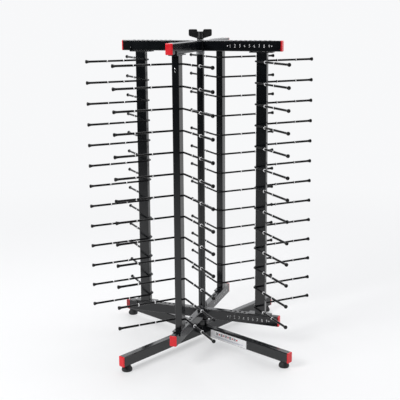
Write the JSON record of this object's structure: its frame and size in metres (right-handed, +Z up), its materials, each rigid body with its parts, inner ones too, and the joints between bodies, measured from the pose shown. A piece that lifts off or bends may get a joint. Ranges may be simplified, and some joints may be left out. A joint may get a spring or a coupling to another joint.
{
  "type": "plate stacking rack",
  "caption": "Table-top rack that stacks plates between V-shaped wires on movable posts, held by two crosses, on swivelling legs, with a wing knob on top.",
  "frame": {"origin": "on the floor under the centre post, which is the swivel axis", "axes": "+Z up; +X along the right arm of the crosses; +Y along the back arm"},
  "size_m": [0.6186, 0.6186, 0.932],
  "materials": {
    "black_powder_coat": "smooth semi-gloss black powder coat",
    "red_plastic": "moulded red plastic, satin",
    "black_rubber": "matt black rubber",
    "black_plastic": "moulded black plastic",
    "grey_collar": "grey plastic",
    "zinc_steel": "bright zinc-plated steel",
    "white_label": null
  },
  "bodies": {
    "base": {"leg_long": "black_powder_coat", "leg_back_right": "black_powder_coat", "leg_front_left": "black_powder_coat", "leg_cap_front_right": "red_plastic", "leg_cap_back_right": "red_plastic", "leg_cap_back_left": "red_plastic", "leg_cap_front_left": "red_plastic", "foot_front_right": "black_rubber", "foot_back_right": "black_rubber", "foot_back_left": "black_rubber", "foot_front_left": "black_rubber", "foot_screw_front_right": "zinc_steel", "foot_screw_back_right": "zinc_steel", "foot_screw_back_left": "zinc_steel", "foot_screw_front_left": "zinc_steel", "label_plate": "white_label", "swivel_housing": "black_powder_coat", "pivot_bolt": "zinc_steel"},
    "rack": {"lower_cross_long": "black_powder_coat", "lower_cross_back": "black_powder_coat", "lower_cross_front": "black_powder_coat", "lower_cap_right": "red_plastic", "lower_cap_back": "red_plastic", "lower_cap_left": "red_plastic", "lower_cap_front": "red_plastic", "centre_post": "black_powder_coat", "centre_post_collar": "grey_collar", "swivel_spindle": "black_powder_coat", "cross_bolt_back": "black_plastic", "cross_bolt_front": "black_plastic"},
    "top_cross": {"upper_cross_long": "black_powder_coat", "upper_cross_back": "black_powder_coat", "upper_cross_front": "black_powder_coat", "upper_cap_right": "red_plastic", "upper_cap_back": "red_plastic", "upper_cap_left": "red_plastic", "upper_cap_front": "red_plastic"},
    "knob_carrier": {"knob_washer": "zinc_steel"},
    "knob": {"wing_knob": "black_plastic", "knob_stud": "zinc_steel"},
    "right_post": {"post_right": "black_powder_coat", "post_right_lower_flange": "black_powder_coat", "post_right_upper_flange": "black_powder_coat", "post_right_lower_peg": "zinc_steel", "post_right_upper_peg": "zinc_steel"},
    "back_post": {"post_back": "black_powder_coat", "post_back_lower_flange": "black_powder_coat", "post_back_upper_flange": "black_powder_coat", "post_back_lower_peg": "zinc_steel", "post_back_upper_peg": "zinc_steel"},
    "left_post": {"post_left": "black_powder_coat", "post_left_lower_flange": "black_powder_coat", "post_left_upper_flange": "black_powder_coat", "post_left_lower_peg": "zinc_steel", "post_left_upper_peg": "zinc_steel"},
    "front_post": {"post_front": "black_powder_coat", "post_front_lower_flange": "black_powder_coat", "post_front_upper_flange": "black_powder_coat", "post_front_lower_peg": "zinc_steel", "post_front_upper_peg": "zinc_steel"}
  },
  "joints": [
    {"name": "rack_swivel", "type": "hinge", "parent": "base", "child": "rack", "pos_m": [0, 0, 0.059], "axis": [0, 0, 1], "continuous": true},
    {"name": "top_cross_lift", "type": "slide", "parent": "rack", "child": "top_cross", "axis": [0, 0, 1], "range_m": [0, 0.06]},
    {"name": "knob_rise", "type": "slide", "parent": "top_cross", "child": "knob_carrier", "axis": [0, 0, 1], "range_m": [0, 0.006]},
    {"name": "knob_turn", "type": "hinge", "parent": "knob_carrier", "child": "knob", "pos_m": [0, 0, 0.901], "axis": [0, 0, 1], "range_deg": [0, 1440]},
    {"name": "right_post_shift", "type": "slide", "parent": "rack", "child": "right_post", "axis": [1, 0, 0], "range_m": [-0.08485, 0.02828], "deforming": ["post_right_lower_peg", "post_right_upper_peg"]},
    {"name": "back_post_shift", "type": "slide", "parent": "rack", "child": "back_post", "axis": [0, 1, 0], "range_m": [-0.08485, 0.02828], "deforming": ["post_back_lower_peg", "post_back_upper_peg"]},
    {"name": "left_post_shift", "type": "slide", "parent": "rack", "child": "left_post", "axis": [-1, 0, 0], "range_m": [-0.08485, 0.02828], "deforming": ["post_left_lower_peg", "post_left_upper_peg"]},
    {"name": "front_post_shift", "type": "slide", "parent": "rack", "child": "front_post", "axis": [0, -1, 0], "range_m": [-0.08485, 0.02828], "deforming": ["post_front_lower_peg", "post_front_upper_peg"]}
  ],
  "couplings": [
    {"joint": "knob_rise", "follows": "knob_turn", "m_per_rad": 0.00023873}
  ]
}
